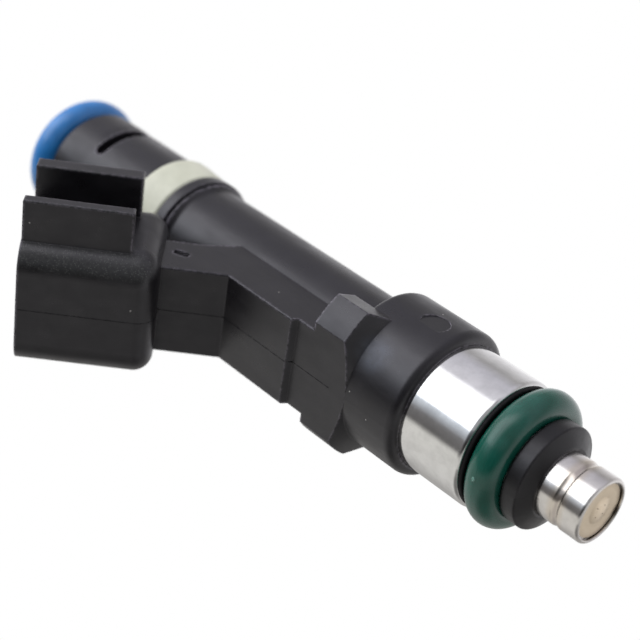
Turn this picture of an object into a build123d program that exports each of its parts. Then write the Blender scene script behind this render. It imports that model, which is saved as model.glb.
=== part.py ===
"""Long-body, side-connector port fuel injector.

Millimetres. The origin is on the injector's axis at the centre of the lower
seal. +Z runs along the axis towards the fuel inlet and +X towards the connector.
The XZ plane is the mould's parting plane; only the keys on the connector's +Y
side break the symmetry about it.
"""
import os
from math import cos, radians, sin, sqrt

from build123d import *

# ---- seals -----------------------------------------------------------------
SEAL_SECTION_R = 1.765        # radius of a seal's round section
SEAL_SEAT_R = 3.75            # shaft that a seal sits on
FIT = 0.01                    # static clearance between assembled pieces
SEAL_RING_R = SEAL_SEAT_R + FIT + SEAL_SECTION_R
UPPER_SEAL_Z = 70.7           # spacing between the two seals
SUPPORT_RING_R = 6.55         # thin ring between the can and the lower seal

# ---- tip -------------------------------------------------------------------
TIP_R = 3.42
TIP_END_Z = -9.25
TIP_RIM_ROUND = 0.32
TIP_FACE_R = 2.84             # visible spray disc
TIP_RECESS_R = 3.0            # bore of the rolled rim around the disc
TIP_RECESS_Z = -8.72
PLATE_Z = (-8.97, -8.78)
DIMPLE_R = 1.4                # domed middle of the spray disc
DIMPLE_HEIGHT = 0.13
SPRAY_HOLE_R = 0.08
WELD_GROOVE_Z = -6.5
WELD_GROOVE_R = 1.0           # section radius of the round groove
WELD_GROOVE_DEPTH = 0.11
SEAT_BORE_R = 2.9
SEAT_Z = (-8.77, -5.6)
NOZZLE_BORE_R = 2.5

# ---- tip cap ---------------------------------------------------------------
CAP_R = 5.45
CAP_TOP_Z = -1.82
CAP_EDGE_Z = -3.55
CAP_END_Z = -4.35
CAP_NECK_R = 3.75

# ---- magnetic circuit ------------------------------------------------------
CAN_R = 6.85
CAN_BORE_R = 6.3
CAN_Z = (2.2, 18.4)
CAN_FLOOR = 1.2
CAN_ROUND = 0.5
SLEEVE_R = 4.25
SLEEVE_BORE_R = 3.93
SLEEVE_TOP_Z = 34.0
ARMATURE_R = 3.9
ARMATURE_Z = (5.2, 11.0)
LIFT = 0.08                   # needle travel
LIFT_GAP = LIFT + FIT
POLE_TOP_Z = 24.0
SPRING_POCKET_R = 1.75
SPRING_Z = (8.5, 18.0)
SPRING_WIRE_R = 0.22
SPRING_MEAN_R = 1.28
SPRING_TURNS = 7
ADJUSTER_TOP_Z = 23.5
COIL_Z = (3.5, 16.5)
WASHER_Z = (16.6, 18.35)

# ---- needle and seat -------------------------------------------------------
NEEDLE_R = 1.3
NEEDLE_BORE_R = 0.85
BALL_R = 1.6
CONE_APEX_Z = -8.6            # 90 degree seat cone
BALL_Z = CONE_APEX_Z + sqrt(2) * (BALL_R + 0.004)

# ---- black moulding --------------------------------------------------------
COLLAR_R = 7.95
COLLAR_Z = (9.75, 19.2)
COLLAR_FRONT_ROUND = 0.9
COLLAR_BACK_ROUND = 0.75
TUBE_R = 6.07
LAND_R = 6.75
LAND_Z = (48.2, 49.65)
LAND_FLARE_R = 6.6            # the tube flares up to a thin groove under the land
LAND_FLARE_Z = (47.2, 47.92)
LAND_GROOVE_R = 6.25
SPIGOT_R = 5.6
BAND_Z = (49.65, 54.15)
BAND_R = (6.7, 7.02)          # the band widens slightly towards the inlet

# ---- connector arm ---------------------------------------------------------
ARM_HALF = 4.98               # half width of the arm
ARM_FACE_X = 8.6              # outer face beside the tube
ARM_LOW_FACE_X = 7.95         # outer face below the step
ARM_STEP_Z = 24.0
FOOT_R = 9.85                 # round foot where the arm meets the collar
FOOT_CONE_Z = (16.2, 17.35)
FOOT_TOP_Z = 21.5
FOOT_BACK_X = 2.95
FOOT_FLANK_Y = (7.37, 9.22)   # half width at the foot's back and at the outer face

# ---- connector: local frame (n across, y, m along the mating direction) ----
CONNECTOR_ANGLE = 43.0        # mating direction above the +X axis
MATE = Vector(cos(radians(CONNECTOR_ANGLE)), 0, sin(radians(CONNECTOR_ANGLE)))
ACROSS = Vector(sin(radians(CONNECTOR_ANGLE)), 0, -cos(radians(CONNECTOR_ANGLE)))
CONNECTOR = Plane(origin=(0, 0, 0), x_dir=ACROSS, z_dir=MATE)
SHELL_M = (36.1, 49.95)       # rear wall to mouth
SHELL_N = (-28.75, -15.44)    # inner and outer face
SHELL_HALF = 6.9
SHELL_CORNER = 3.0
SHELL_REAR_ROUND = 2.0
SHELL_MID_N = sum(SHELL_N) / 2
WALL = 1.3
CAVITY_FLOOR_M = 39.0
KEY_M = (39.0, 49.9)
NEAR_KEY_N = (-18.75, -17.5)
FAR_KEY_N = (-26.9, -25.1)
NEAR_KEY_TOP = 11.2
FAR_KEY_TOP = 11.4
ARM_N = (-24.6, -18.8)

# ---- terminals -------------------------------------------------------------
BLADE_WIDTH = 1.5
BLADE_THICK = 0.5
BLADE_Y = 1.55
BLADE_TIP_M = 46.0
RAIL_X = 5.4                  # rail runs down beside the sleeve
RAIL_END_Z = 15.72
RAIL_CLEARANCE = 0.02

# ---- fuel inlet ------------------------------------------------------------
EXTENSION_R = (6.54, 6.62)    # below and above the taper
EXTENSION_Z = (54.17, 68.4)
EXTENSION_TAPER_Z = (63.6, 64.7)
CLIP_SLOT_Z = 62.65
CLIP_SLOT_WIDTH = 1.5
CLIP_SLOT_DEPTH = 1.1
CLIP_SLOT_ENDS = (-17.0, 33.0)    # centres of its round ends, degrees from the side towards +X
BACKUP_RING_Z = (68.42, 68.92)
BACKUP_RING_R = 5.6
INLET_BORE_R = 3.15
INLET_SPIGOT_Z = (28.0, 33.65)
LIP_Z = (72.55, 73.9)
LIP_R = 5.3
FILTER_RING_Z = (70.5, 73.2)
FILTER_BOTTOM_Z = 61.0
FILTER_R = 2.6


ON_BASE = (Align.CENTER, Align.CENTER, Align.MIN)


def turned(outline, rounds=()):
    """Solid of revolution about Z from (radius, z) points; rounds are (r, z, radius)."""
    face = make_face(Polyline(*[(r, 0, z) for r, z in outline], close=True)).face()
    for r, z, radius in rounds:
        corner = face.vertices().sort_by_distance((r, 0, z))[0]
        face = face.fillet_2d(radius, [corner])
    return revolve(face, Axis.Z).solid()


def ring(outer_r, inner_r, low_z, high_z, rounds=()):
    """Plain ring about Z."""
    outline = [(inner_r, low_z), (outer_r, low_z), (outer_r, high_z), (inner_r, high_z)]
    return turned(outline, rounds)


def disc(r, low_z, high_z):
    """Plain cylinder about Z between two heights."""
    return Pos(0, 0, low_z) * Cylinder(r, high_z - low_z, align=ON_BASE)


def slab(x, y, z):
    """Box between two values on each axis."""
    size = [high - low for low, high in (x, y, z)]
    centre = [(low + high) / 2 for low, high in (x, y, z)]
    return Pos(*centre) * Box(*size)


def mirrored_pair(shape):
    """The shape and its mirror image in the plane of symmetry."""
    return shape + mirror(shape, Plane.XZ)


def connector_point(m, n):
    """(x, z) of a point given along and across the mating direction."""
    point = MATE * m + ACROSS * n
    return point.X, point.Z


# ---- seals and their neighbours -------------------------------------------

def seal(z):
    return Pos(0, 0, z) * Torus(SEAL_RING_R, SEAL_SECTION_R)


def seal_support_ring():
    low, high = SEAL_SECTION_R + 0.02, CAN_Z[0] - FIT
    return ring(SUPPORT_RING_R, SEAL_SEAT_R + 0.02, low, high, [(SUPPORT_RING_R, low, 0.15)])


def tip_cap():
    outline = [
        (TIP_R + FIT, CAP_TOP_Z),
        (CAP_R, CAP_TOP_Z),
        (CAP_R, CAP_EDGE_Z),
        (CAP_NECK_R, CAP_END_Z),
        (TIP_R + FIT, CAP_END_Z),
    ]
    return turned(outline, [(CAP_R, CAP_TOP_Z, 0.25), (CAP_R, CAP_EDGE_Z, 0.2)])


# ---- nozzle ----------------------------------------------------------------

def nozzle_tube():
    outline = [
        (SEAT_BORE_R, TIP_RECESS_Z),
        (TIP_RECESS_R, TIP_RECESS_Z),
        (TIP_RECESS_R, TIP_END_Z),
        (TIP_R, TIP_END_Z),
        (TIP_R, CAP_TOP_Z + FIT),
        (SEAL_SEAT_R, CAP_TOP_Z + FIT),
        (SEAL_SEAT_R, CAN_Z[0]),
        (SLEEVE_BORE_R - FIT, CAN_Z[0]),
        (SLEEVE_BORE_R - FIT, 4.6),
        (3.0, 4.6),
        (3.0, 1.2),
        (NOZZLE_BORE_R, 0.7),
        (NOZZLE_BORE_R, SEAT_Z[1] + 0.1),
        (SEAT_BORE_R, SEAT_Z[1] + 0.1),
    ]
    body = turned(outline, [(TIP_R, TIP_END_Z, TIP_RIM_ROUND), (TIP_RECESS_R, TIP_END_Z, 0.09)])
    groove_ring_r = TIP_R - WELD_GROOVE_DEPTH + WELD_GROOVE_R
    return body - Pos(0, 0, WELD_GROOVE_Z) * Torus(groove_ring_r, WELD_GROOVE_R)


def orifice_plate():
    front = PLATE_Z[0]
    dome_r = (DIMPLE_R ** 2 + DIMPLE_HEIGHT ** 2) / (2 * DIMPLE_HEIGHT)
    dome = Pos(0, 0, front - DIMPLE_HEIGHT + dome_r) * Sphere(dome_r)
    dimple = dome & disc(DIMPLE_R, front - 1, front + 0.05)
    spray = [Pos(0.5 * x, 0.5 * y, front) * Cylinder(SPRAY_HOLE_R, 1) for x in (-1, 1) for y in (-1, 1)]
    return (disc(TIP_FACE_R, *PLATE_Z) + dimple).solid() - spray


def valve_seat():
    low, high = SEAT_Z
    guide_r = BALL_R + 0.02
    outline = [
        (0.45, low),
        (SEAT_BORE_R - FIT, low),
        (SEAT_BORE_R - FIT, high),
        (guide_r + 0.3, high),
        (guide_r, high - 0.3),
        (guide_r, CONE_APEX_Z + guide_r),
        (0.45, CONE_APEX_Z + 0.45),
    ]
    return turned(outline)


def valve_ball():
    ball = Pos(0, 0, BALL_Z) * Sphere(BALL_R)
    flat = Pos(BALL_R - 0.1 + 0.5, 0, BALL_Z + 0.45) * Box(1, 4, 1.4)
    flats = [Rot(0, 0, 72 * index) * flat for index in range(5)]
    weld_flat = slab((-2, 2), (-2, 2), (needle_bottom(), needle_bottom() + 2))
    return (ball - flats - weld_flat).solid()


def needle_bottom():
    """Height where the ball is cut flat and welded to the needle tube."""
    return BALL_Z + sqrt(BALL_R ** 2 - NEEDLE_R ** 2)


def needle_tube():
    tube = ring(NEEDLE_R, NEEDLE_BORE_R, needle_bottom(), SPRING_Z[0] - 0.05)
    cross_hole = Rot(90, 0, 0) * Cylinder(0.45, 4)
    holes = [Pos(0, 0, -4.2) * cross_hole, Pos(0, 0, -3.0) * Rot(0, 0, 90) * cross_hole]
    return tube - holes


def armature():
    low, high = ARMATURE_Z
    outline = [
        (NEEDLE_R + FIT, low),
        (3.2, low),
        (ARMATURE_R, low + 0.7),
        (ARMATURE_R, high),
        (SPRING_POCKET_R, high),
        (SPRING_POCKET_R, SPRING_Z[0]),
        (NEEDLE_R + FIT, SPRING_Z[0]),
    ]
    passage = Pos(2.55, 0, (low + high) / 2) * Cylinder(0.45, high - low + 2)
    return turned(outline) - [Rot(0, 0, 90 * index + 45) * passage for index in range(4)]


def return_spring():
    low, high = SPRING_Z
    pitch = (high - low) / SPRING_TURNS
    path = Helix(pitch, high - low, SPRING_MEAN_R, center=(0, 0, low))
    section = Plane(origin=path @ 0, z_dir=path % 0) * Circle(SPRING_WIRE_R)
    wire = sweep(section, path, is_frenet=True)
    return (wire & disc(3, low + FIT, high - FIT)).solid()


def adjusting_sleeve():
    sleeve = ring(SPRING_POCKET_R - FIT, 1.1, SPRING_Z[1], ADJUSTER_TOP_Z)
    return sleeve - slab((0, 3), (-0.2, 0.2), (SPRING_Z[1] - 1, ADJUSTER_TOP_Z + 1))


def pole_piece():
    return ring(SLEEVE_BORE_R - FIT, SPRING_POCKET_R, ARMATURE_Z[1] + LIFT_GAP, POLE_TOP_Z)


def valve_sleeve():
    return ring(SLEEVE_R, SLEEVE_BORE_R, CAN_Z[0], SLEEVE_TOP_Z)


# ---- coil and can ----------------------------------------------------------

def magnet_housing():
    low, high = CAN_Z
    outline = [
        (SLEEVE_R + FIT, low),
        (CAN_R, low),
        (CAN_R, high),
        (CAN_BORE_R, high),
        (CAN_BORE_R, low + CAN_FLOOR),
        (SLEEVE_R + FIT, low + CAN_FLOOR),
    ]
    return turned(outline, [(CAN_R, low, CAN_ROUND), (CAN_BORE_R, low + CAN_FLOOR, 0.4)])


def terminal_windows(low_z, high_z):
    """Clearance for the two rails where they pass through the coil's top."""
    half = BLADE_WIDTH / 2 + 0.05
    reach = BLADE_THICK / 2 + 0.05
    window = slab((RAIL_X - reach, RAIL_X + reach), (BLADE_Y - half, BLADE_Y + half), (low_z, high_z))
    return mirrored_pair(window)


def coil_bobbin():
    low, high = COIL_Z
    flange = 0.82
    outline = [
        (SLEEVE_R + FIT, low),
        (CAN_BORE_R - 0.45, low),
        (CAN_BORE_R - 0.02, low + 0.45),
        (CAN_BORE_R - 0.02, low + flange),
        (4.75, low + flange),
        (4.75, high - flange),
        (CAN_BORE_R - 0.02, high - flange),
        (CAN_BORE_R - 0.02, high),
        (SLEEVE_R + FIT, high),
    ]
    return turned(outline) - terminal_windows(high - flange - 0.1, high + 1)


def coil_winding():
    low, high = COIL_Z
    outer_r = 6.1
    bulge = 0.08
    layers = 24
    bottom = low + 0.83
    step = (high - low - 1.66) / layers
    outline = [(4.76, bottom), (outer_r - bulge, bottom)]
    for layer in range(layers):
        z = bottom + step * layer
        outline += [(outer_r, z + step / 2), (outer_r - bulge, z + step)]
    outline.append((4.76, high - 0.83))
    return turned(outline)


def flux_washer():
    low, high = WASHER_Z
    return ring(CAN_BORE_R - FIT, SLEEVE_R + FIT, low, high) - terminal_windows(low - 1, high + 1)


# ---- terminals -------------------------------------------------------------

def rail(grow=0.0):
    """Blade, arm rail and coil end of the +Y terminal; grow thickens it into its channel."""
    half = BLADE_THICK / 2 + grow
    slope_x, slope_z = ACROSS.X, ACROSS.Z
    tip_x, tip_z = connector_point(BLADE_TIP_M, SHELL_MID_N)
    bend_m = (RAIL_X - SHELL_MID_N * ACROSS.X) / MATE.X
    bend_z = connector_point(bend_m, SHELL_MID_N)[1]
    turn = half * (1 - sin(radians(CONNECTOR_ANGLE))) / cos(radians(CONNECTOR_ANGLE))
    outline = [
        (RAIL_X - half, RAIL_END_Z - grow),
        (RAIL_X + half, RAIL_END_Z - grow),
        (RAIL_X + half, bend_z - turn),
        (tip_x + half * slope_x, tip_z + half * slope_z),
        (tip_x - half * slope_x, tip_z - half * slope_z),
        (RAIL_X - half, bend_z + turn),
    ]
    width = BLADE_WIDTH + 2 * grow
    face = make_face(Polyline(*[(x, 0, z) for x, z in outline], close=True))
    strip = extrude(face, width / 2, dir=(0, 1, 0), both=True)
    return Pos(0, BLADE_Y, 0) * strip


def terminal():
    blade = rail().solid()
    tip = blade.edges().filter_by(Axis.Y).sort_by(Axis((0, 0, 0), tuple(MATE)))[-2:]
    return chamfer(tip, 0.18)


# ---- black moulding --------------------------------------------------------

def collar():
    low, high = COLLAR_Z
    rounds = [(COLLAR_R, low, COLLAR_FRONT_ROUND), (COLLAR_R, high, COLLAR_BACK_ROUND)]
    return turned([(0, low), (COLLAR_R, low), (COLLAR_R, high), (0, high)], rounds)


def moulded_core():
    """Body tube, land and the spigot for the colour band."""
    flare_low, flare_high = LAND_FLARE_Z
    outline = [
        (0, COLLAR_Z[1]),
        (TUBE_R, COLLAR_Z[1]),
        (TUBE_R, flare_low),
        (LAND_FLARE_R, flare_high),
        (LAND_GROOVE_R, flare_high),
        (LAND_GROOVE_R, LAND_Z[0]),
        (LAND_R, LAND_Z[0]),
        (LAND_R, LAND_Z[1]),
        (SPIGOT_R, LAND_Z[1]),
        (SPIGOT_R, BAND_Z[1]),
        (0, BAND_Z[1]),
    ]
    rounds = [(TUBE_R, flare_low, 0.8), (LAND_R, LAND_Z[0], 0.15), (LAND_R, LAND_Z[1], 0.2)]
    return turned(outline, rounds)


def side_plate(outline, half_width):
    """Plate drawn in the plane of symmetry as (x, z) points, thick both ways."""
    face = make_face(Polyline(*[(x, 0, z) for x, z in outline], close=True))
    return extrude(face, half_width, dir=(0, 1, 0), both=True)


def arm():
    outer_bend_m = (ARM_FACE_X - ARM_N[1] * ACROSS.X) / MATE.X
    shell_m = SHELL_M[0] + 2.5
    outline = [
        (0, FOOT_CONE_Z[1] + 1),
        (ARM_LOW_FACE_X, FOOT_CONE_Z[1] + 1),
        (ARM_LOW_FACE_X, ARM_STEP_Z - 0.25),
        (ARM_FACE_X, ARM_STEP_Z + 0.1),
        connector_point(outer_bend_m, ARM_N[1]),
        connector_point(shell_m, ARM_N[1]),
        connector_point(shell_m, ARM_N[0]),
        (6.9, 39.95),
        (3.2, 37.6),
        (0, 37.6),
    ]
    body = side_plate(outline, ARM_HALF)
    flank_edges = [e for e in body.edges() if abs(e.center().Y) > ARM_HALF - 0.01]
    outer = [e for e in flank_edges if e.center().X > 7.5 and e.center().Z < 41 and e.length > 4]
    return fillet(outer, 0.2)


def arm_foot():
    """Round foot with a conical underside, cut flat on the outer face and the flanks."""
    profile = [
        (5.0, FOOT_CONE_Z[0]),
        (COLLAR_R, FOOT_CONE_Z[0]),
        (FOOT_R, FOOT_CONE_Z[1]),
        (FOOT_R, FOOT_TOP_Z),
        (5.0, FOOT_TOP_Z),
    ]
    back_y, face_y = FOOT_FLANK_Y
    corners = [
        (FOOT_BACK_X, -back_y),
        (ARM_LOW_FACE_X, -face_y),
        (ARM_LOW_FACE_X, face_y),
        (FOOT_BACK_X, back_y),
    ]
    plan = extrude(make_face(Polyline(*corners, close=True)), FOOT_TOP_Z + 1)
    return turned(profile) & plan


def shell():
    n_mid = SHELL_MID_N
    width = SHELL_N[1] - SHELL_N[0]
    length = SHELL_M[1] - SHELL_M[0]
    block = Pos(n_mid, 0, sum(SHELL_M) / 2) * Box(width, 2 * SHELL_HALF, length)
    block = fillet(block.edges().filter_by(Axis.Z), SHELL_CORNER)
    rear = block.edges().group_by(Axis.Z)[0]
    block = fillet(rear, SHELL_REAR_ROUND)
    keys = []
    for (low, high), top in ((NEAR_KEY_N, NEAR_KEY_TOP), (FAR_KEY_N, FAR_KEY_TOP)):
        key = slab((low, high), (SHELL_HALF - 2.5, top), KEY_M)
        crest = key.edges().group_by(Axis.Y)[-1]
        keys.append(fillet(crest, 0.15))
    return CONNECTOR * (block + keys)


def cavity():
    depth = SHELL_M[1] - CAVITY_FLOOR_M
    width = SHELL_N[1] - SHELL_N[0] - 2 * WALL
    pocket = Box(width, 2 * (SHELL_HALF - WALL), depth + 2)
    pocket = fillet(pocket.edges().filter_by(Axis.Z), SHELL_CORNER - WALL)
    return CONNECTOR * Pos(SHELL_MID_N, 0, CAVITY_FLOOR_M + depth / 2 + 1) * pocket


def flank_slots():
    """Small moulded slot on each flank of the arm."""
    slot = Pos(10.0, ARM_HALF, 39.6) * Rot(0, -66, 0) * Box(1.7, 0.5, 0.9)
    corners = slot.edges().filter_by(Axis.Y)
    return mirrored_pair(fillet(corners, 0.25))


def ejector_marks():
    mark = Pos(0.4, COLLAR_R - 0.12, 13.1) * Rot(-90, 0, 0) * Cylinder(1.5, 2, align=ON_BASE)
    return mirrored_pair(mark)


def overmould_body():
    body = moulded_core() + collar() + arm() + arm_foot() + shell()
    body -= disc(CAN_R + FIT, 0, CAN_Z[1] + 0.02)
    body -= disc(SLEEVE_R + FIT, 0, SLEEVE_TOP_Z + 0.02)
    body -= disc(SEAL_SEAT_R + FIT, 0, BAND_Z[1] + 1)
    body -= cavity()
    body -= mirrored_pair(rail(RAIL_CLEARANCE))
    body -= flank_slots()
    body -= ejector_marks()
    return body.solid()


def colour_band():
    low, high = BAND_Z
    outline = [
        (SPIGOT_R + FIT, low + FIT),
        (BAND_R[0], low + FIT),
        (BAND_R[1], high - 0.8),
        (BAND_R[1], high),
        (SPIGOT_R + FIT, high),
    ]
    rounds = [(BAND_R[0], low + FIT, 0.5), (BAND_R[1], high - 0.8, 0.6), (BAND_R[1], high, 0.55)]
    return turned(outline, rounds)


# ---- fuel inlet ------------------------------------------------------------

def clip_slot():
    """Slot with round ends for the rail retaining clip, on the +Y side."""
    half = CLIP_SLOT_WIDTH / 2
    reach = 12.0
    directions = [(sin(radians(angle)), cos(radians(angle))) for angle in CLIP_SLOT_ENDS]
    sector = make_face(Polyline((0, 0), *[(reach * x, reach * y) for x, y in directions], close=True))
    bottom_r = EXTENSION_R[0] - CLIP_SLOT_DEPTH
    slot = ring(EXTENSION_R[1] + 0.5, bottom_r, -half, half) & extrude(sector, half, both=True)
    for angle in CLIP_SLOT_ENDS:
        end = Rot(0, 0, -angle) * Rot(-90, 0, 0) * Cylinder(half, 2, align=ON_BASE)
        slot += Pos(*[bottom_r * value for value in (sin(radians(angle)), cos(radians(angle)), 0)]) * end
    return Pos(0, 0, CLIP_SLOT_Z) * slot


def inlet_extension():
    low, high = EXTENSION_Z
    outline = [
        (SEAL_SEAT_R + FIT, low),
        (EXTENSION_R[0], low),
        (EXTENSION_R[0], EXTENSION_TAPER_Z[0]),
        (EXTENSION_R[1], EXTENSION_TAPER_Z[1]),
        (EXTENSION_R[1], high),
        (SEAL_SEAT_R + FIT, high),
    ]
    body = turned(outline, [(EXTENSION_R[1], high, 0.3)])
    return (body - mirrored_pair(clip_slot())).solid()


def upper_backup_ring():
    return ring(BACKUP_RING_R, SEAL_SEAT_R + FIT, BACKUP_RING_Z[0], BACKUP_RING_Z[1])


def inlet_tube():
    spigot_low, spigot_high = INLET_SPIGOT_Z
    outline = [
        (INLET_BORE_R, spigot_low),
        (SLEEVE_BORE_R - FIT, spigot_low),
        (SLEEVE_BORE_R - FIT, spigot_high),
        (SEAL_SEAT_R, spigot_high + 0.3),
        (SEAL_SEAT_R, LIP_Z[0]),
        (LIP_R, LIP_Z[0]),
        (LIP_R, LIP_Z[1]),
        (INLET_BORE_R, LIP_Z[1]),
    ]
    rounds = [(LIP_R, LIP_Z[0], 0.4), (LIP_R, LIP_Z[1], 0.6), (INLET_BORE_R, LIP_Z[1], 0.4)]
    return turned(outline, rounds)


def filter_ring():
    low, high = FILTER_RING_Z
    return ring(INLET_BORE_R - FIT, FILTER_R + FIT, low, high)


def filter_frame():
    low, high = FILTER_BOTTOM_Z, FILTER_RING_Z[1]
    base = disc(FILTER_R, low, low + 0.8)
    top = ring(FILTER_R, 2.1, FILTER_RING_Z[0] - 0.6, high)
    post = Pos(2.3, 0, (low + high) / 2) * Box(0.5, 0.7, high - low - 1)
    posts = [Rot(0, 0, 90 * index) * post for index in range(4)]
    return (base + top + posts).solid()


def filter_screen():
    return ring(1.98, 1.86, FILTER_BOTTOM_Z + 0.85, FILTER_RING_Z[0] - 0.65)


def assembly():
    """Every piece by node name."""
    right_rail = terminal()
    return {
        "overmould_body": overmould_body(),
        "colour_band": colour_band(),
        "inlet_extension": inlet_extension(),
        "upper_backup_ring": upper_backup_ring(),
        "upper_o_ring": seal(UPPER_SEAL_Z),
        "magnet_housing": magnet_housing(),
        "seal_support_ring": seal_support_ring(),
        "lower_o_ring": seal(0),
        "tip_cap": tip_cap(),
        "nozzle_tube": nozzle_tube(),
        "orifice_plate": orifice_plate(),
        "inlet_tube": inlet_tube(),
        "filter_ring": filter_ring(),
        "filter_frame": filter_frame(),
        "filter_screen": filter_screen(),
        "valve_sleeve": valve_sleeve(),
        "pole_piece": pole_piece(),
        "adjusting_sleeve": adjusting_sleeve(),
        "return_spring": return_spring(),
        "armature": armature(),
        "needle_tube": needle_tube(),
        "valve_ball": valve_ball(),
        "valve_seat": valve_seat(),
        "coil_bobbin": coil_bobbin(),
        "coil_winding": coil_winding(),
        "flux_washer": flux_washer(),
        "terminal_left": mirror(right_rail, Plane.XZ),
        "terminal_right": right_rail,
    }


os.makedirs("parts", exist_ok=True)
for node, piece in assembly().items():
    export_step(piece, f"parts/{node}.step")
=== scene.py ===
"""Looks for the fuel injector: materials, moulding details, floor, light and camera.

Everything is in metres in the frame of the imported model. Lengths inside the
materials and the pieces are in millimetres, and MM turns them into metres.
"""

import math

import bmesh
import bpy
from mathutils import Matrix, Vector
from mathutils.bvhtree import BVHTree


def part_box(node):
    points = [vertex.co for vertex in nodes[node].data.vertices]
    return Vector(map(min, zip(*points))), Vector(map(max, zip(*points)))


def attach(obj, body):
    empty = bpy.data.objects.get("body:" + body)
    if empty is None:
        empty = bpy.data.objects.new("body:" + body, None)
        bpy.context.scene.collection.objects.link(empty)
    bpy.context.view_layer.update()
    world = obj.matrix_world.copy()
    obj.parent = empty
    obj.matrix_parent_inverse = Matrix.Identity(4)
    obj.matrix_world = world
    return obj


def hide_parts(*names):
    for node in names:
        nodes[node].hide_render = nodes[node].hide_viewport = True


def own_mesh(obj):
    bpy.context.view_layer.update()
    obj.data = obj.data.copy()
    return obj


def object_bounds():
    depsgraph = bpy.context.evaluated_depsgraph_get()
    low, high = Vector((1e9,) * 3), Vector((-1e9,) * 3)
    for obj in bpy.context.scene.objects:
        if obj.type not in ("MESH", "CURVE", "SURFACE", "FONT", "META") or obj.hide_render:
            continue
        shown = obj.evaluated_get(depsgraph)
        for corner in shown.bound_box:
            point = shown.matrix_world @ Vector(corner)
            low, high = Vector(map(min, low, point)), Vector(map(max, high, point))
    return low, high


MM = 0.001
BODY = "body"
UP = Vector((0, 0, 1))

# ---- directions and places on the injector ---------------------------------
MATE_ANGLE = math.radians(43)      # the connector's axis over the horizontal
MATE = Vector((math.cos(MATE_ANGLE), 0, math.sin(MATE_ANGLE)))    # out of the connector
ACROSS = Vector((MATE.z, 0, -MATE.x))    # out of the arm's outer face
CORNER_DUST_X = (12.0, 16.0)       # dust on the shell's corner fades in over this stretch
PAINTED_SHEEN_PLACE = (6.0, 5.2, 15.0)     # middle of the painted bluish sheen on the collar
PAINTED_SHEEN_REACH = 2.4

# ---- moulding details ------------------------------------------------------
FLASH_HALF_WIDTH = 0.08
FLASH_HEIGHT = 0.06
FLASH_ROOT = 0.03                  # how far flash is sunk into the moulding
FLASH_STEP = 0.25
ARM_FLASH = (18.45, 28.95)         # heights between which it runs up the arm
CONNECTOR_FLASH = (26.2, 49.7)     # the same along the connector's axis
NIB_ANGLES = (0.087, 0.017)        # round the injector's axis, and over the seal's section
NIB_CORNERS = 14
SCREEN_WIRE = 0.045
SCREEN_WEAVE = 0.018               # how far each crossing stands in or out
SCREEN_AROUND = 56
SCREEN_ROWS = 84
SPRING_WIRE_R = 0.22
SPRING_TURNS = 7
SPRING_PER_TURN = 40
SPRING_SIDES = 12

# ---- camera and floor ------------------------------------------------------
CAMERA_AZIMUTH = math.radians(38.92)
CAMERA_ELEVATION = math.radians(-35.86)
CAMERA_ROLL = math.radians(-55.6)
CAMERA_AIM = Vector((0.00368, 0.00292, 0.0249))
CAMERA_DISTANCE = 0.15
LENS_MM = 84.4
FOCUS = (0.012, 0.0045, 0.022)     # on the foot of the arm
FLOOR_HALF = 1.5
FLOOR_GAP = 0.0002                 # between the floor and the tip
WORLD_PEAK = 3.0                   # brightest tone that the studio's ramp can hold

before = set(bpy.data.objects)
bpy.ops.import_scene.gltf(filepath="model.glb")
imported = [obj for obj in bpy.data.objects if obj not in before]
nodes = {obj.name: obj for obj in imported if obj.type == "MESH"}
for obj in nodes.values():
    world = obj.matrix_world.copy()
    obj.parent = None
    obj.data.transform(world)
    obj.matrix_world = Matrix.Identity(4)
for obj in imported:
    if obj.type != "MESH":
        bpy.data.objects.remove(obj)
cad_low, cad_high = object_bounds()
scene = bpy.context.scene


# ---- node graphs -----------------------------------------------------------

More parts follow.
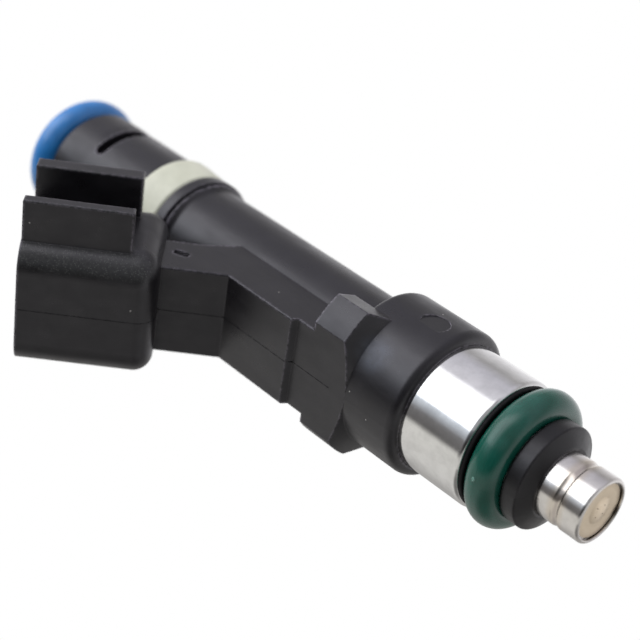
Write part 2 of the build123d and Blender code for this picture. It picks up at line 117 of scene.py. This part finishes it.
class Graph:
    """Short hand for building a shader node tree."""

    def __init__(self, tree):
        self.tree = tree
        tree.nodes.clear()

    def add(self, kind, inputs=None, **settings):
        node = self.tree.nodes.new(kind)
        for name, value in settings.items():
            setattr(node, name, value)
        for name, value in (inputs or {}).items():
            self.feed(node.inputs[name], value)
        return node

    def feed(self, socket, value):
        if isinstance(value, bpy.types.NodeSocket):
            self.tree.links.new(value, socket)
        else:
            socket.default_value = value

    def math(self, operation, a, b=0.0, clamp=False):
        node = self.add("ShaderNodeMath", {0: a, 1: b}, operation=operation, use_clamp=clamp)
        return node.outputs[0]

    def mix(self, factor, a, b):
        node = self.add("ShaderNodeMix", {0: factor, 6: a, 7: b}, data_type="RGBA")
        return node.outputs[2]

    def scale(self, vector, factor):
        inputs = {0: vector, "Scale": factor}
        return self.add("ShaderNodeVectorMath", inputs, operation="SCALE").outputs[0]

    def remap(self, value, low, high, to_low=0.0, to_high=1.0):
        inputs = {0: value, 1: low, 2: high, 3: to_low, 4: to_high}
        return self.add("ShaderNodeMapRange", inputs, interpolation_type="SMOOTHSTEP").outputs[0]

    def noise(self, coord, scale, detail=3.0, roughness=0.5):
        inputs = {"Vector": coord, "Scale": scale, "Detail": detail, "Roughness": roughness}
        return self.add("ShaderNodeTexNoise", inputs).outputs["Fac"]

    def ramp(self, value, stops):
        node = self.add("ShaderNodeValToRGB", {"Fac": value})
        elements = node.color_ramp.elements
        while len(elements) < len(stops):
            elements.new(0.5)
        for element, (place, tone) in zip(elements, stops):
            element.position = place
            element.color = colour(*tone)
        return node.outputs["Color"]

    def place(self, stretch=(1.0, 1.0, 1.0)):
        """Position on the object in millimetres, with each axis scaled by stretch."""
        coord = self.add("ShaderNodeTexCoord").outputs["Object"]
        factor = [value / MM for value in stretch]
        return self.add("ShaderNodeVectorMath", {0: coord, 1: factor}, operation="MULTIPLY").outputs[0]

    def split(self, vector):
        return self.add("ShaderNodeSeparateXYZ", {0: vector}).outputs

    def toward(self, vector, axis):
        """Component of a vector along a fixed axis."""
        node = self.add("ShaderNodeVectorMath", {0: vector, 1: tuple(axis)}, operation="DOT_PRODUCT")
        return node.outputs["Value"]

    def distance(self, coord, centre):
        node = self.add("ShaderNodeVectorMath", {0: coord, 1: centre}, operation="DISTANCE")
        return node.outputs["Value"]

    def specks(self, coord, scale, size, share):
        """Mask of small round dots: size is their radius over the spacing, share how many are kept."""
        cells = self.add("ShaderNodeTexVoronoi", {"Vector": coord, "Scale": scale, "Randomness": 1.0})
        inside = self.math("LESS_THAN", cells.outputs["Distance"], size)
        chosen = self.math("GREATER_THAN", self.split(cells.outputs["Color"])[0], 1.0 - share)
        return self.math("MULTIPLY", inside, chosen)

    def around_axis(self, along, around):
        """Position unrolled round Z: (angle times around, height times along, 0)."""
        x, y, z = self.split(self.place())
        angle = self.math("ARCTAN2", y, x)
        inputs = {0: self.math("MULTIPLY", angle, around), 1: self.math("MULTIPLY", z, along), 2: 0.0}
        return self.add("ShaderNodeCombineXYZ", inputs).outputs[0]

    def soft_edge(self, radius):
        """Normal rounded over sharp edges, and a mask that is 1 on outer edges."""
        bevel = self.add("ShaderNodeBevel", {"Radius": radius * MM}, samples=6).outputs[0]
        depth = self.add("ShaderNodeAmbientOcclusion", {"Distance": 1.6 * radius * MM},
                         samples=8, inside=True, only_local=True)
        return bevel, self.remap(depth.outputs["AO"], 0.94, 0.68)

    def bump(self, height, distance, strength, normal=None):
        inputs = {"Height": height, "Distance": distance * MM, "Strength": strength}
        if normal is not None:
            inputs["Normal"] = normal
        return self.add("ShaderNodeBump", inputs).outputs[0]

    def principled(self, **inputs):
        """Principled shader with the given inputs, underscores standing for spaces."""
        named = {name.replace("_", " "): value for name, value in inputs.items()}
        shader = self.add("ShaderNodeBsdfPrincipled", named)
        self.add("ShaderNodeOutputMaterial", {"Surface": shader.outputs[0]})


def colour(r, g, b):
    return (r, g, b, 1.0)


def scaled(tone, factor):
    return [value * factor for value in tone]


def new_material(name):
    material = bpy.data.materials.new(name)
    material.use_nodes = True
    return material, Graph(material.node_tree)


# ---- materials -------------------------------------------------------------

def dust_and_painted_sheen(g, coord, base):
    """Haze and fine dust on the connector shell's rounded corner, and a painted bluish sheen on the
    collar.
    """
    normal = g.add("ShaderNodeNewGeometry").outputs["Normal"]
    slope = g.math("MULTIPLY", g.split(normal)[1], g.toward(normal, ACROSS))
    on_shell = g.remap(g.split(coord)[0], *CORNER_DUST_X)
    on_corner = g.math("MULTIPLY", g.remap(slope, 0.12, 0.4), on_shell)
    haze = g.remap(g.noise(coord, 3.5, 5.0, 0.75), 0.35, 0.75, 0.25, 0.95)
    base = g.mix(g.math("MULTIPLY", on_corner, haze), base, colour(0.036, 0.037, 0.034))
    fine_dust = g.math("MULTIPLY", g.specks(coord, 6.5, 0.3, 0.45), on_corner)
    base = g.mix(g.math("MULTIPLY", fine_dust, 0.4), base, colour(0.20, 0.205, 0.19))
    # Painted reflection: a soft bluish sheen laid into the colour in patches on the collar beside the
    # arm's foot.
    sheen_near = g.remap(g.distance(coord, PAINTED_SHEEN_PLACE), PAINTED_SHEEN_REACH, 0.3)
    patchy = g.remap(g.noise(coord, 0.9, 4.0), 0.3, 0.6, 0.4, 0.9)
    return g.mix(g.math("MULTIPLY", sheen_near, patchy), base, colour(0.050, 0.059, 0.080))


def moulded_plastic(name, dark, light, rough, grain, dust, edge_gain, gloss=0.6, with_dust_and_sheen=False):
    """Filled moulded plastic: cloudy colour, fine grain, edges lightened by wear and by a painted edge
    highlight, specks of dust.
    """
    material, g = new_material(name)
    coord = g.place()
    cloud = g.noise(coord, 0.35, 4.0, 0.6)
    base = g.mix(g.remap(cloud, 0.3, 0.7), colour(*dark), colour(*light))
    bevel, edge = g.soft_edge(0.2)
    patchy = g.remap(g.noise(coord, 2.2, 4.0, 0.7), 0.38, 0.60)
    # Lighter outer edges: partly wear, and partly a painted edge highlight.
    rubbed_and_lit_edge = g.math("MULTIPLY", edge, patchy, clamp=True)
    worn_and_lit_tone = [min(1.0, value) for value in scaled(light, edge_gain)]
    base = g.mix(g.math("MULTIPLY", rubbed_and_lit_edge, 0.8), base, colour(*worn_and_lit_tone))
    base = g.mix(g.specks(coord, 0.62, 0.045, dust), base, colour(0.42, 0.40, 0.38))
    # Dust on the shell's corner, and a painted sheen on the collar.
    if with_dust_and_sheen:
        base = dust_and_painted_sheen(g, coord, base)
    smear = g.noise(g.place((0.5, 0.5, 0.18)), 0.9, 5.0, 0.65)
    roughness = g.remap(smear, 0.25, 0.75, rough - 0.08, rough + 0.10)
    fine = g.noise(coord, 9.0, 2.0, 0.6)
    sink = g.noise(coord, 0.22, 1.0)
    relief = g.math("ADD", g.math("MULTIPLY", fine, grain), g.math("MULTIPLY", sink, 8.0))
    normal = g.bump(relief, 0.02, 0.35, bevel)
    g.principled(Base_Color=base, Roughness=roughness, Normal=normal, Specular_IOR_Level=gloss,
                 Specular_Tint=colour(0.965, 0.95, 1.0))
    return material


def rubber(name, dark, light, rough, bloom, gloss=0.5):
    """Moulded seal: deep colour, pale bloom in patches, faint flow marks round the ring."""
    material, g = new_material(name)
    coord = g.place()
    base = g.mix(g.remap(g.noise(coord, 0.4, 4.0), 0.3, 0.7), colour(*dark), colour(*light))
    patch = g.remap(g.noise(coord, 0.8, 5.0, 0.7), 0.52, 0.85)
    base = g.mix(g.math("MULTIPLY", patch, 0.12), base, colour(*bloom))
    flow = g.noise(g.around_axis(5.0, 2.0), 1.0, 4.0, 0.6)
    roughness = g.remap(flow, 0.3, 0.75, rough - 0.04, rough + 0.1)
    normal = g.bump(g.noise(coord, 6.0, 3.0, 0.6), 0.012, 0.3)
    g.principled(Base_Color=base, Roughness=roughness, Normal=normal, Specular_IOR_Level=gloss,
                 Coat_Weight=0.5, Coat_Roughness=0.12)
    return material


def weld_tint(g, coord, base, tint):
    """Straw and violet heat colours in a band; tint is (height, reach, straw, violet)."""
    centre, reach, straw, violet = tint
    wobble = g.math("MULTIPLY", g.noise(coord, 0.9, 2.0), 0.25)
    offset = g.math("ABSOLUTE", g.math("SUBTRACT", g.split(coord)[2], centre))
    away = g.math("ADD", offset, wobble)
    base = g.mix(g.remap(away, reach * 1.5, reach * 0.6, 0.0, 0.6), base, colour(*straw))
    return g.mix(g.remap(away, reach * 0.5, reach * 0.2, 0.0, 0.5), base, colour(*violet))


def steel(name, tone, rough, lines, tint=None, edge=0.06):
    """Bright steel; lines is (along, around, depth) for the tool marks round the axis."""
    material, g = new_material(name)
    along, around, depth = lines
    coord = g.place()
    marks = g.noise(g.around_axis(along, around), 1.0, 5.0, 0.65)
    cloud = g.noise(coord, 0.7, 4.0, 0.6)
    base = g.mix(g.remap(cloud, 0.3, 0.75), colour(*tone), colour(*scaled(tone, 0.86)))
    base = g.mix(g.remap(marks, 0.55, 0.85, 0.0, 0.5), base, colour(*scaled(tone, 0.72)))
    if tint:
        base = weld_tint(g, coord, base, tint)
    smudge = g.noise(coord, 1.3, 5.0, 0.7)
    roughness = g.remap(smudge, 0.35, 0.8, rough, rough + 0.08)
    bevel, _ = g.soft_edge(edge)
    normal = g.bump(marks, depth, 0.4, bevel)
    g.principled(Base_Color=base, Metallic=1.0, Roughness=roughness, Normal=normal)
    return material


def spray_disc(name):
    """Straw-coloured steel, with a painted highlight over the dimple and painted shade in a ring round
    it.
    """
    material, g = new_material(name)
    coord = g.place()
    x, y, _ = g.split(coord)
    radius = g.math("SQRT", g.math("ADD", g.math("MULTIPLY", x, x), g.math("MULTIPLY", y, y)))
    away = g.math("ADD", radius, g.math("MULTIPLY", g.noise(coord, 1.2, 3.0), 0.5))
    edge_r = 3.1
    # Painted light by radius: paler over the dimple, darker as painted shade in a ring round it, and
    # darker again out at the edge.
    tones_with_painted_light = [
        (0.0, (0.84, 0.71, 0.54)),
        (0.33, (0.78, 0.66, 0.50)),
        (0.5, (0.62, 0.52, 0.385)),
        (0.8, (0.68, 0.575, 0.43)),
        (1.0, (0.56, 0.47, 0.35)),
    ]
    base = g.ramp(g.math("DIVIDE", away, edge_r), tones_with_painted_light)
    stain = g.remap(g.noise(coord, 2.2, 5.0, 0.7), 0.5, 0.85, 0.0, 0.4)
    base = g.mix(stain, base, colour(0.36, 0.29, 0.21))
    roughness = g.remap(g.noise(coord, 3.0, 4.0), 0.3, 0.8, 0.30, 0.42)
    normal = g.bump(g.noise(coord, 7.0, 3.0, 0.6), 0.008, 0.4)
    g.principled(Base_Color=base, Metallic=1.0, Roughness=roughness, Normal=normal)
    return material


def wound_copper(name):
    """Enamelled wire: layers along the axis, each turn a little different."""
    material, g = new_material(name)
    wire_r = 0.12
    turn = g.math("PINGPONG", g.split(g.place())[2], wire_r)
    shade = g.noise(g.around_axis(8.0, 0.4), 1.0, 2.0)
    base = g.mix(g.remap(shade, 0.3, 0.7), colour(0.42, 0.13, 0.04), colour(0.62, 0.24, 0.09))
    roughness = g.remap(shade, 0.2, 0.8, 0.25, 0.4)
    g.principled(Base_Color=base, Metallic=0.9, Roughness=roughness, Normal=g.bump(turn, 0.1, 0.8))
    return material


def floor_material():
    """Pale floor, clear from below because the camera looks up past it."""
    material, g = new_material("studio_floor")
    cloud = g.noise(g.place((0.01, 0.01, 0.01)), 1.0, 3.0)
    pale = g.mix(cloud, colour(0.80, 0.80, 0.79), colour(0.84, 0.84, 0.83))
    solid = g.add("ShaderNodeBsdfPrincipled", {"Base Color": pale, "Roughness": 0.7})
    clear = g.add("ShaderNodeBsdfTransparent")
    back = g.add("ShaderNodeNewGeometry").outputs["Backfacing"]
    both = g.add("ShaderNodeMixShader", {0: back, 1: solid.outputs[0], 2: clear.outputs[0]})
    g.add("ShaderNodeOutputMaterial", {"Surface": both.outputs[0]})
    return material


def plastics():
    return {
        "black": moulded_plastic(
            "black_moulding", (0.0052, 0.0046, 0.0056), (0.0092, 0.0084, 0.0100),
            rough=0.33, grain=1.0, dust=0.22, edge_gain=18.0, with_dust_and_sheen=True),
        "cap": moulded_plastic(
            "cap_plastic", (0.0028, 0.0026, 0.0028), (0.0056, 0.0052, 0.0056),
            rough=0.34, grain=1.4, dust=0.04, edge_gain=9.0, gloss=0.42),
        # Near-black and matte: the support ring is darkened to paint the shade in the gap between the
        # can and the lower seal.
        "gap_shade_black": moulded_plastic(
            "gap_shade_plastic", (0.0012, 0.0012, 0.0012), (0.0026, 0.0025, 0.0026),
            rough=0.6, grain=1.0, dust=0.0, edge_gain=2.0, gloss=0.2),
        # Darker and more matte than the moulding, so that the ridges read as dark lines: painted shade
        # along the flash, with bright specks of dust on it.
        "flash": moulded_plastic(
            "flash_painted_dark", (0.0012, 0.0011, 0.0013), (0.0030, 0.0028, 0.0031),
            rough=0.55, grain=2.0, dust=0.9, edge_gain=6.0, gloss=0.25),
        "cream": moulded_plastic(
            "cream_moulding", (0.57, 0.575, 0.455), (0.65, 0.655, 0.53),
            rough=0.42, grain=0.8, dust=0.02, edge_gain=1.1),
        "natural": moulded_plastic(
            "natural_plastic", (0.55, 0.52, 0.42), (0.68, 0.65, 0.55),
            rough=0.45, grain=1.0, dust=0.0, edge_gain=1.1),
    }


def seals():
    return {
        "blue": rubber(
            "blue_seal", (0.010, 0.165, 0.47), (0.018, 0.210, 0.57),
            rough=0.34, bloom=(0.12, 0.30, 0.56)),
        "green": rubber(
            "green_seal", (0.003, 0.068, 0.046), (0.005, 0.088, 0.062),
            rough=0.24, bloom=(0.06, 0.19, 0.15), gloss=0.3),
        "nib": rubber(
            "seal_nib", (0.16, 0.34, 0.28), (0.24, 0.44, 0.37),
            rough=0.3, bloom=(0.3, 0.5, 0.44)),
    }


def metals():
    turned = (9.0, 0.6, 0.004)
    drawn = (0.12, 14.0, 0.008)
    weld = (-6.5, 0.9, (0.62, 0.54, 0.44), (0.38, 0.33, 0.31))
    return {
        "can": steel("can_steel", (0.78, 0.775, 0.765), 0.08, drawn, edge=0.15),
        "tip": steel("tip_steel", (0.71, 0.685, 0.66), 0.13, turned, tint=weld),
        "disc": spray_disc("disc_steel"),
        "tube": steel("tube_steel", (0.66, 0.655, 0.65), 0.2, turned),
        "magnetic": steel("magnetic_steel", (0.50, 0.50, 0.51), 0.28, turned),
        "spring": steel("spring_steel", (0.56, 0.55, 0.54), 0.24, drawn),
        "ball": steel("ball_steel", (0.78, 0.78, 0.78), 0.08, (2.0, 2.0, 0.001)),
        "brass": steel("filter_brass", (0.72, 0.52, 0.24), 0.2, turned),
        "mesh": steel("mesh_steel", (0.52, 0.51, 0.50), 0.3, (6.0, 6.0, 0.004)),
        "tin": steel("tinned_brass", (0.70, 0.67, 0.60), 0.26, (3.0, 3.0, 0.003), edge=0.04),
        "copper": wound_copper("copper_wire"),
    }


LOOKS = {
    "overmould_body": "black",
    "colour_band": "cream",
    "inlet_extension": "black",
    "upper_backup_ring": "cap",
    "upper_o_ring": "blue",
    "magnet_housing": "can",
    "seal_support_ring": "gap_shade_black",
    "lower_o_ring": "green",
    "tip_cap": "cap",
    "nozzle_tube": "tip",
    "orifice_plate": "disc",
    "inlet_tube": "tube",
    "filter_ring": "brass",
    "filter_frame": "natural",
    "filter_screen": "mesh",
    "valve_sleeve": "tube",
    "pole_piece": "magnetic",
    "adjusting_sleeve": "brass",
    "return_spring": "spring",
    "armature": "magnetic",
    "needle_tube": "tube",
    "valve_ball": "ball",
    "valve_seat": "ball",
    "coil_bobbin": "natural",
    "coil_winding": "copper",
    "flux_washer": "magnetic",
    "terminal_left": "tin",
    "terminal_right": "tin",
}


def paint(obj, material):
    obj.data.materials.clear()
    obj.data.materials.append(material)


# ---- pieces ----------------------------------------------------------------

def new_piece(name, corners, faces, look):
    """Closed mesh in millimetres that rides on the injector's body."""
    mesh = bpy.data.meshes.new(name)
    mesh.from_pydata([scaled(corner, MM) for corner in corners], [], faces)
    shape = bmesh.new()
    shape.from_mesh(mesh)
    bmesh.ops.recalc_face_normals(shape, faces=shape.faces)
    shape.to_mesh(mesh)
    shape.free()
    mesh.shade_smooth()
    mesh.set_sharp_from_angle(angle=0.7)
    piece = bpy.data.objects.new(name, mesh)
    scene.collection.objects.link(piece)
    paint(piece, materials[look])
    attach(piece, BODY)
    return piece


def skin(rows, count, caps=True):
    """Faces over rows of count corners each, every row a closed ring."""
    faces = []
    for row in range(rows - 1):
        for index in range(count):
            a, b = row * count + index, row * count + (index + 1) % count
            faces.append((a, b, b + count, a + count))
    if caps:
        last = (rows - 1) * count
        faces += [tuple(range(count)), tuple(range(last, last + count))]
    return faces


def circle(count):
    """Evenly spaced angles of a full turn."""
    return [math.tau * index / count for index in range(count)]


def outward(angle):
    """Direction away from the injector's axis."""
    return Vector((math.cos(angle), math.sin(angle), 0))


def stations(low, high):
    """Lengths from low to high, one flash step apart."""
    count = round((high - low) / FLASH_STEP)
    return [low + FLASH_STEP * index for index in range(count + 1)]


def surface_line(tree, starts, direction):
    """Points and normals in millimetres where parallel rays meet a CAD node."""
    hits = [tree.ray_cast(start * MM, direction) for start in starts]
    return [(point / MM, normal) for point, normal, _, _ in hits if point is not None]


def add_flash(name, line):
    """Raised, uneven line of mould flash along a row of surface points in the parting plane."""
    side = Vector((0, FLASH_HALF_WIDTH, 0))
    corners = []
    for index, (point, normal) in enumerate(line):
        swell = max(0.1, 0.65 + 0.55 * math.sin(index * 1.7) * math.sin(index * 0.61))
        root = point - FLASH_ROOT * normal
        corners += [root - side, root + side, point + FLASH_HEIGHT * swell * normal]
    new_piece(name, corners, skin(len(line), 3), "flash")


def add_parting_lines():
    """Flash where the two mould halves met, on the arm and on the connector shell."""
    body = nodes["overmould_body"]
    corners = [body.matrix_world @ vertex.co for vertex in body.data.vertices]
    tree = BVHTree.FromPolygons(corners, [tuple(face.vertices) for face in body.data.polygons])
    outside = 30
    beside_arm = [Vector((outside, 0, height)) for height in stations(*ARM_FLASH)]
    add_flash("arm_parting_line", surface_line(tree, beside_arm, Vector((-1, 0, 0))))
    in_connector = [MATE * length for length in stations(*CONNECTOR_FLASH)]
    add_flash("connector_parting_line", surface_line(tree, in_connector, -ACROSS))


def add_seal_nib():
    """Small crater left by the gate on the lower seal."""
    low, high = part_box("lower_o_ring")
    section_r = (high.z - low.z) / 2 / MM
    ring_r = high.x / MM - section_r
    around, over = NIB_ANGLES
    out = outward(around)
    normal = math.cos(over) * out + math.sin(over) * UP
    centre = ring_r * out + section_r * normal
    first = normal.cross(UP).normalized()
    second = normal.cross(first)
    profile = [(0.20, -0.06), (0.18, 0.02), (0.14, 0.09), (0.10, 0.10), (0.06, 0.04)]
    corners = []
    for radius, height in profile:
        for angle in circle(NIB_CORNERS):
            reach = radius * (1 + 0.18 * math.sin(2 * angle + 0.6))
            spoke = math.cos(angle) * first + math.sin(angle) * second
            corners.append(centre + height * normal + reach * spoke)
    new_piece("seal_nib", corners, skin(len(profile), NIB_CORNERS), "nib")


def add_filter_mesh():
    """Woven filter screen in place of the plain sleeve."""
    low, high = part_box("filter_screen")
    radius = high.x / MM - 0.06
    bottom, top = low.z / MM, high.z / MM
    corners = []
    for row in range(SCREEN_ROWS + 1):
        height = bottom + (top - bottom) * row / SCREEN_ROWS
        for index, angle in enumerate(circle(SCREEN_AROUND)):
            weave = SCREEN_WEAVE if (row + index) % 2 else -SCREEN_WEAVE
            corners.append((radius + weave) * outward(angle) + height * UP)
    faces = skin(SCREEN_ROWS + 1, SCREEN_AROUND, caps=False)
    screen = new_piece("woven_screen", corners, faces, "mesh")
    wires = screen.modifiers.new("wires", "WIREFRAME")
    wires.thickness = SCREEN_WIRE * MM
    wires.use_replace = True
    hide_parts("filter_screen")


def add_return_spring():
    """Coiled closing spring in place of the rigid one."""
    low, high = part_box("return_spring")
    bottom, top = low.z / MM, high.z / MM
    mean_r = high.x / MM - SPRING_WIRE_R
    rise = (top - bottom) / SPRING_TURNS
    steps = SPRING_TURNS * SPRING_PER_TURN
    corners = []
    for step in range(steps + 1):
        turned = math.tau * step / SPRING_PER_TURN
        out = outward(turned)
        centre = mean_r * out + (bottom + rise * step / SPRING_PER_TURN) * UP
        along = Vector((-out.y * mean_r, out.x * mean_r, rise / math.tau)).normalized()
        for angle in circle(SPRING_SIDES):
            spoke = math.cos(angle) * out + math.sin(angle) * along.cross(out)
            corner = centre + SPRING_WIRE_R * spoke
            corner.z = min(max(corner.z, bottom), top)
            corners.append(corner)
    spring = new_piece("coiled_spring", corners, skin(steps + 1, SPRING_SIDES), "spring")
    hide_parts("return_spring")
    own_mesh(spring)


# ---- stage -----------------------------------------------------------------

def camera_axes():
    """Directions to the camera's right, its top and its back."""
    level = outward(CAMERA_AZIMUTH)
    back = math.cos(CAMERA_ELEVATION) * level + math.sin(CAMERA_ELEVATION) * UP
    sideways = UP.cross(level)
    right = math.cos(CAMERA_ROLL) * sideways + math.sin(CAMERA_ROLL) * back.cross(sideways)
    return right, back.cross(right), back


def add_floor():
    half = FLOOR_HALF
    z = cad_low.z - FLOOR_GAP
    mesh = bpy.data.meshes.new("floor")
    corners = [(-half, -half, z), (half, -half, z), (half, half, z), (-half, half, z)]
    mesh.from_pydata(corners, [], [(0, 1, 2, 3)])
    floor = bpy.data.objects.new("floor", mesh)
    scene.collection.objects.link(floor)
    paint(floor, floor_material())
    floor.visible_diffuse = False
    floor.visible_glossy = False
    floor.visible_shadow = False


def studio_ring(g, direction):
    """Light and dark panels that stand round the object, by the angle round Z in degrees."""
    panels = [
        (-180, (0.84, 0.83, 0.86)),
        (-156, (1.05, 1.04, 1.06)),
        (-128, (0.42, 0.41, 0.40)),
        (-104, (0.46, 0.45, 0.44)),
        (-72, (0.72, 0.71, 0.69)),
        (-18, (0.76, 0.75, 0.72)),
        (-9, (0.14, 0.135, 0.135)),
        (8, (0.20, 0.195, 0.20)),
        (26, (0.80, 0.86, 0.95)),
        (31, (2.6, 2.7, 2.85)),
        (76, (2.5, 2.5, 2.6)),
        (90, (0.80, 0.79, 0.86)),
        (126, (0.62, 0.61, 0.68)),
        (146, (0.44, 0.43, 0.44)),
        (180, (0.84, 0.83, 0.86)),
    ]
    x, y, _ = g.split(direction)
    turn = g.math("ADD", g.math("DIVIDE", g.math("ARCTAN2", y, x), math.tau), 0.5)
    stops = [((angle + 180) / 360, scaled(tone, 1 / WORLD_PEAK)) for angle, tone in panels]
    return g.scale(g.ramp(turn, stops), WORLD_PEAK)


def add_world():
    """White backdrop to the camera; a soft studio round the object for light and reflections."""
    world = bpy.data.worlds.new("studio")
    scene.world = world
    world.use_nodes = True
    g = Graph(world.node_tree)
    direction = g.add("ShaderNodeTexCoord").outputs["Generated"]
    pole = g.remap(g.math("ABSOLUTE", g.split(direction)[2]), 0.80, 1.0)
    studio = g.mix(pole, studio_ring(g, direction), colour(0.8, 0.8, 0.8))
    _, up, back = camera_axes()
    camera_side = g.remap(g.toward(direction, back), 0.5, 0.9, 1.0, 0.15)
    underneath = g.remap(g.toward(direction, up), -1.0, -0.8, 0.3, 1.0)
    studio = g.scale(studio, g.math("MULTIPLY", camera_side, underneath))
    seen = g.add("ShaderNodeLightPath").outputs["Is Camera Ray"]
    shown = g.mix(seen, studio, colour(1.0, 1.0, 1.0))
    background = g.add("ShaderNodeBackground", {"Color": shown, "Strength": 1.0})
    g.add("ShaderNodeOutputWorld", {"Surface": background.outputs[0]})


def add_fill_light():
    """Weak overhead softbox that grounds the object on the floor."""
    light = bpy.data.lights.new("softbox", "AREA")
    light.shape = "DISK"
    light.size = 0.35
    light.energy = 0.9
    lamp = bpy.data.objects.new("softbox", light)
    lamp.location = (0.08, 0.22, 0.42)
    lamp.rotation_mode = "QUATERNION"
    middle = Vector((0.005, 0, 0.03))
    lamp.rotation_quaternion = (middle - lamp.location).to_track_quat("-Z", "Y")
    lamp.visible_glossy = False
    scene.collection.objects.link(lamp)


def add_camera():
    """Close to the object, below it and looking up its length, rolled so that it seems to lie down."""
    data = bpy.data.cameras.new("camera")
    data.sensor_width = 36.0
    data.lens = LENS_MM
    data.clip_start = 0.005
    data.clip_end = 10.0
    right, up, back = camera_axes()
    turned = Matrix((right, up, back)).transposed().to_4x4()
    camera = bpy.data.objects.new("camera", data)
    camera.matrix_world = Matrix.Translation(CAMERA_AIM + CAMERA_DISTANCE * back) @ turned
    scene.collection.objects.link(camera)
    scene.camera = camera
    focus = bpy.data.objects.new("focus", None)
    focus.location = FOCUS
    scene.collection.objects.link(focus)
    data.dof.use_dof = True
    data.dof.focus_object = focus
    data.dof.aperture_fstop = 34.0


scene.view_settings.view_transform = "Standard"
materials = {**plastics(), **seals(), **metals()}
for node, look in LOOKS.items():
    paint(nodes[node], materials[look])
add_parting_lines()
add_seal_nib()
add_filter_mesh()
add_return_spring()
add_floor()
add_world()
add_fill_light()
add_camera()
